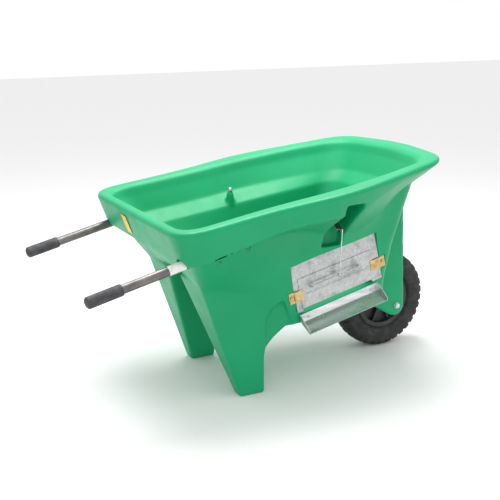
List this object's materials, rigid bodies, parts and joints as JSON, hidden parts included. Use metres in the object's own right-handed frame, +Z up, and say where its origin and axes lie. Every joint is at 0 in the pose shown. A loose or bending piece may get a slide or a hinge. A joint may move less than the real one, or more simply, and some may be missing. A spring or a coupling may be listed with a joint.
{
  "type": "garden spreader",
  "caption": "Wheelbarrow-style spreader: moulded polyethylene tub on moulded legs and a front wheel, with a lever-worked metering gate and chute in the side",
  "frame": {"origin": "on the ground under the middle of the bounding box", "axes": "+Z up, +X forward towards the wheel, +Y to the left of a person holding the handles"},
  "size_m": [1.5659, 0.8876, 0.8375],
  "materials": {
    "green": "rotomoulded polyethylene, satin",
    "grey_tube": "drawn tube, satin grey",
    "charcoal": "matt charcoal grip",
    "galvanised": "galvanised sheet, dull",
    "yellow_zinc": "yellow passivated zinc",
    "bright_zinc": "bright zinc",
    "dark_steel": "dark steel",
    "black_rubber": "matt black rubber",
    "black_plastic": "moulded black plastic",
    "white_plastic": "natural plastic bush",
    "label": "printed film, blank"
  },
  "bodies": {
    "barrow": {"axle_bolt": "bright_zinc", "axle_nut": "bright_zinc", "axle_sleeve": "bright_zinc", "axle_spacer_left": "black_plastic", "axle_spacer_right": "black_plastic", "axle_washer_left": "bright_zinc", "axle_washer_right": "bright_zinc", "bracket_bolt_1": "bright_zinc", "bracket_bolt_2": "bright_zinc", "chute": "galvanised", "chute_rivet_1": "galvanised", "chute_rivet_2": "galvanised", "clip_bolt_front": "yellow_zinc", "clip_bolt_rear": "yellow_zinc", "domed_nut": "bright_zinc", "frame_rivet_1": "galvanised", "frame_rivet_2": "galvanised", "frame_rivet_3": "galvanised", "frame_rivet_4": "galvanised", "frame_rivet_5": "galvanised", "grip_left": "charcoal", "grip_right": "charcoal", "guide_clip_front": "yellow_zinc", "guide_clip_rear": "yellow_zinc", "handle_bolt_left_1": "bright_zinc", "handle_bolt_left_2": "bright_zinc", "handle_bolt_right_1": "bright_zinc", "handle_bolt_right_2": "bright_zinc", "handle_left": "grey_tube", "handle_right": "grey_tube", "hatch_frame": "galvanised", "lever_bracket": "dark_steel", "lever_pin": "bright_zinc", "pillar_stud": "bright_zinc", "pillar_washer": "bright_zinc", "rear_label": "label", "tub": "green"},
    "wheel": {"tyre": "black_rubber", "inner_tube": "black_rubber", "wheel_rim": "black_plastic", "valve_stem": "black_rubber", "hub_bush_right": "white_plastic", "hub_bush_left": "white_plastic"},
    "gate_slider": {"gate": "galvanised", "gate_staple": "bright_zinc"},
    "lever_arm": {"lever": "dark_steel"},
    "rod": {"link_rod": "bright_zinc"}
  },
  "joints": [
    {"name": "wheel_spin", "type": "hinge", "parent": "barrow", "child": "wheel", "pos_m": [0.5825, 0, 0.2], "axis": [0, 1, 0], "continuous": true},
    {"name": "lever_hinge", "type": "hinge", "parent": "barrow", "child": "lever_arm", "pos_m": [0.1805, -0.256, 0.63], "axis": [-1, 0, 0], "range_deg": [-20, 20]},
    {"name": "gate_slide", "type": "slide", "parent": "barrow", "child": "gate_slider", "axis": [-0.225, 0, 0.9744], "range_m": [-0.0197, 0.0197]},
    {"name": "rod_tilt", "type": "hinge", "parent": "gate_slider", "child": "rod", "pos_m": [0.209, -0.2671, 0.416], "axis": [0.9744, 0, 0.225], "range_deg": [-4, 4]}
  ],
  "couplings": [
    {"joint": "lever_hinge", "follows": "gate_slide", "rad_per_m": 17.7},
    {"joint": "rod_tilt", "follows": "gate_slide", "rad_per_m": 2.814}
  ]
}
